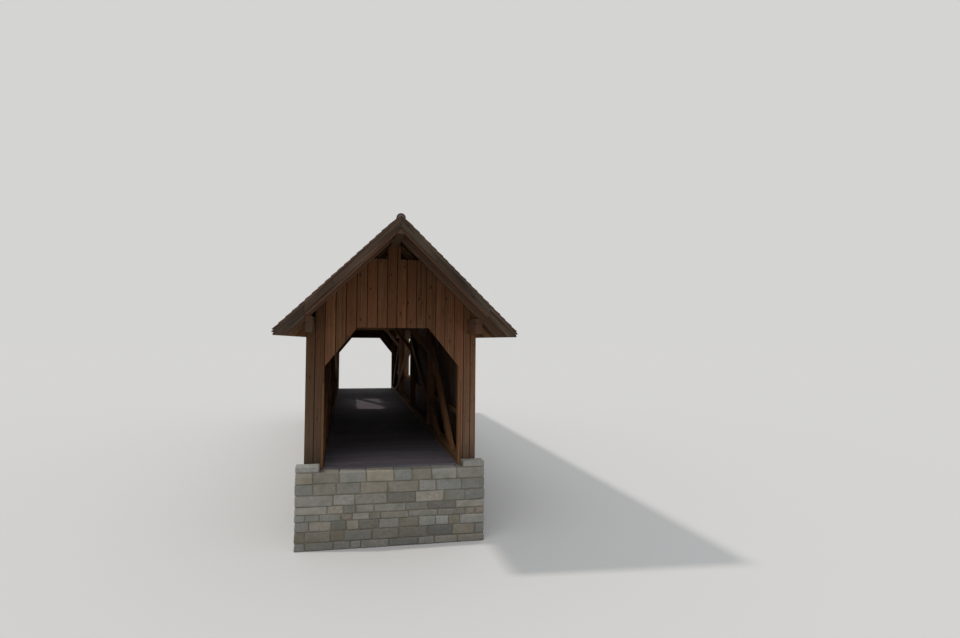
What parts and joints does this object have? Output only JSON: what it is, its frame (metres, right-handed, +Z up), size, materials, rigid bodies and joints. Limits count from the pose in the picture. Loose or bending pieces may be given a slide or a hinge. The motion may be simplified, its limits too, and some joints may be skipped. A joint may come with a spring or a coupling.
{
  "type": "covered timber footbridge",
  "caption": "Small covered timber bridge with boarded portals, side trusses of posts and raking struts, and a steep tiled roof that overhangs both ends.",
  "frame": {"origin": "middle of the bridge at the foot of the abutments", "axes": "+Y along the bridge, away from the near portal; +Z up; +X to the right of someone walking towards +Y"},
  "size_m": [4.36, 23.15, 6.3218],
  "materials": {
    "abutment": "coursed grey rubble stone with mortar joints, damp near the ground",
    "dark_timber": "dark sawn timber, unpainted, under the deck",
    "deck_planks": "dark grey worn planks laid across the bridge",
    "frame_timber": "unpainted sawn softwood, warm orange brown indoors",
    "roof_boards": "rough softwood boarding, unpainted",
    "roof_tiles": "weathered plain clay tiles, brown red with dark patches",
    "bargeboards": "weathered grey brown boards",
    "wall_boards": "upright rough boards, weathered brown",
    "gable_boards": "upright boards with dark joints and knots, reddish brown, greyer low down"
  },
  "bodies": {
    "root": {"abutment_near": "abutment", "abutment_far": "abutment", "cross_beams": "dark_timber", "stringers": "dark_timber", "deck": "deck_planks", "bottom_chord_left": "frame_timber", "bottom_chord_right": "frame_timber", "posts_left": "frame_timber", "posts_right": "frame_timber", "struts_left": "frame_timber", "struts_right": "frame_timber", "wall_plate_left": "frame_timber", "wall_plate_right": "frame_timber", "knee_braces": "frame_timber", "tie_beams": "frame_timber", "king_posts": "frame_timber", "rafter_plates": "frame_timber", "ridge_purlin": "frame_timber", "rafters_left": "frame_timber", "rafters_right": "frame_timber", "roof_boards_left": "roof_boards", "roof_boards_right": "roof_boards", "roof_tiles_left": "roof_tiles", "roof_tiles_right": "roof_tiles", "ridge_tiles": "roof_tiles", "bargeboard_near_left": "bargeboards", "bargeboard_near_right": "bargeboards", "bargeboard_far_left": "bargeboards", "bargeboard_far_right": "bargeboards", "side_rails_left": "frame_timber", "side_rails_right": "frame_timber", "left_wall_boards": "wall_boards", "right_wall_boards": "wall_boards", "left_wall_under_window": "wall_boards", "right_wall_under_window": "wall_boards", "left_wall_over_window": "wall_boards", "right_wall_over_window": "wall_boards", "window_frame_left": "frame_timber", "window_frame_right": "frame_timber", "near_jamb_boards": "gable_boards", "far_jamb_boards": "gable_boards", "near_haunch_boards": "gable_boards", "far_haunch_boards": "gable_boards", "near_gable_boards": "gable_boards", "far_gable_boards": "gable_boards"}
  },
  "joints": []
}
